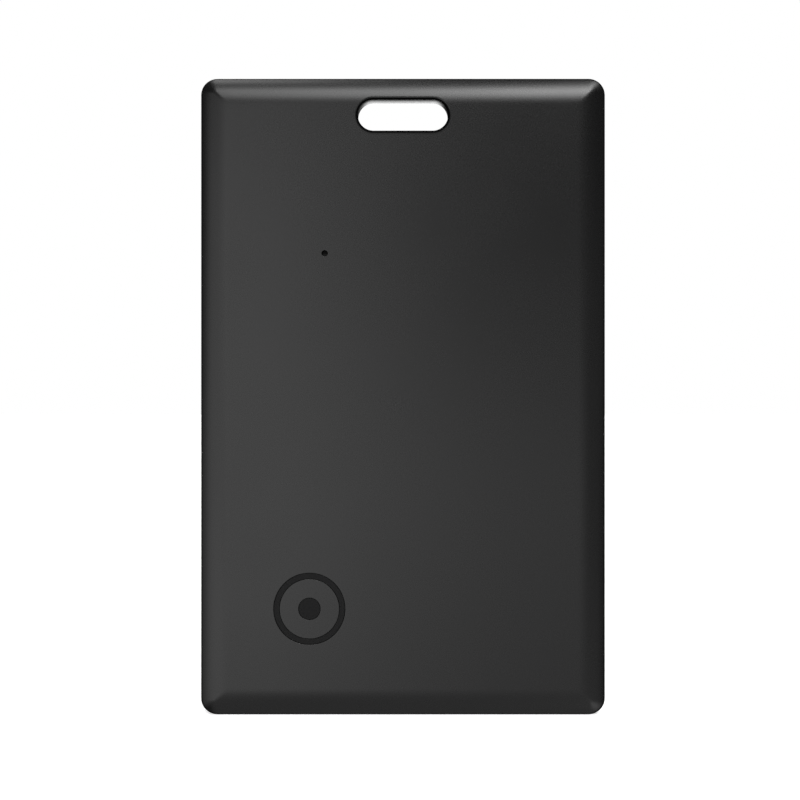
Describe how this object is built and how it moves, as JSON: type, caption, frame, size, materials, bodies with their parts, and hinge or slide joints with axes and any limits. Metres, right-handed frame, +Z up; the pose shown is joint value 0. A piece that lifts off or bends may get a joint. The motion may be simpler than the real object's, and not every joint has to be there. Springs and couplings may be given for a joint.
{
  "type": "card tracker tag",
  "caption": "Thin black card-shaped radio finder tag, slotted for a lanyard at the top, with a sounder pinhole and a round press button at the lower left.",
  "frame": {"origin": "centre of the lanyard slot, at the middle of the card's thickness", "axes": "+Z up the card towards the slotted end, -Y out of the front face, +X to the right seen from the front"},
  "size_m": [0.054, 0.0024, 0.085],
  "materials": {
    "shell": "black moulded polycarbonate, fine matt texture",
    "elastomer": "darker black elastomer, matt",
    "board": "green solder mask on glass-epoxy",
    "chip": "black moulding compound",
    "can": "stamped metal lid",
    "capacitor": "tan ceramic with tinned ends",
    "resistor": "black glaze with tinned ends",
    "antenna": "pale ceramic",
    "ferrite": "dark grey ferrite",
    "pouch": "satin aluminium laminate pouch",
    "nickel": "nickel strip",
    "polyimide": "amber film tape",
    "tape": "pale double-sided bonding film",
    "foam": "black closed-cell foam",
    "brass": "rolled brass disc",
    "piezo": "pale fired ceramic with silver face",
    "steel": "stamped spring steel",
    "film": "thin clear polyester film",
    "port_mesh": "black acoustic mesh",
    "red_wire": "red insulation",
    "black_wire": "black insulation"
  },
  "bodies": {
    "card": {"antenna_capacitor": "capacitor", "antenna_inductor": "ferrite", "back_cover": "shell", "battery_cell": "pouch", "battery_foam": "foam", "battery_tab_negative": "nickel", "battery_tab_positive": "nickel", "battery_tape": "tape", "bluetooth_chip": "chip", "boost_diode": "chip", "boost_inductor": "ferrite", "button_seal": "elastomer", "capacitor_1": "capacitor", "capacitor_2": "capacitor", "capacitor_3": "capacitor", "capacitor_4": "capacitor", "capacitor_5": "capacitor", "capacitor_6": "capacitor", "chip_antenna": "antenna", "clock_crystal": "can", "cover_adhesive": "tape", "dome_film": "film", "front_cover": "shell", "main_board": "board", "port_membrane": "port_mesh", "radio_crystal": "can", "resistor_1": "resistor", "resistor_2": "resistor", "resistor_3": "resistor", "resistor_4": "resistor", "snap_dome": "steel", "sounder_ceramic": "piezo", "sounder_driver": "chip", "sounder_lead_black": "black_wire", "sounder_lead_red": "red_wire", "sounder_plate": "brass", "sounder_spacer": "foam", "tab_insulator": "polyimide"},
    "button": {"button_cap": "shell", "button_plunger": "elastomer"}
  },
  "joints": [
    {"name": "button_press", "type": "slide", "parent": "card", "child": "button", "axis": [0, 1, 0], "range_m": [0, 0.0002], "stiffness_N_per_m": 8000, "deforming": ["snap_dome", "dome_film"]}
  ]
}
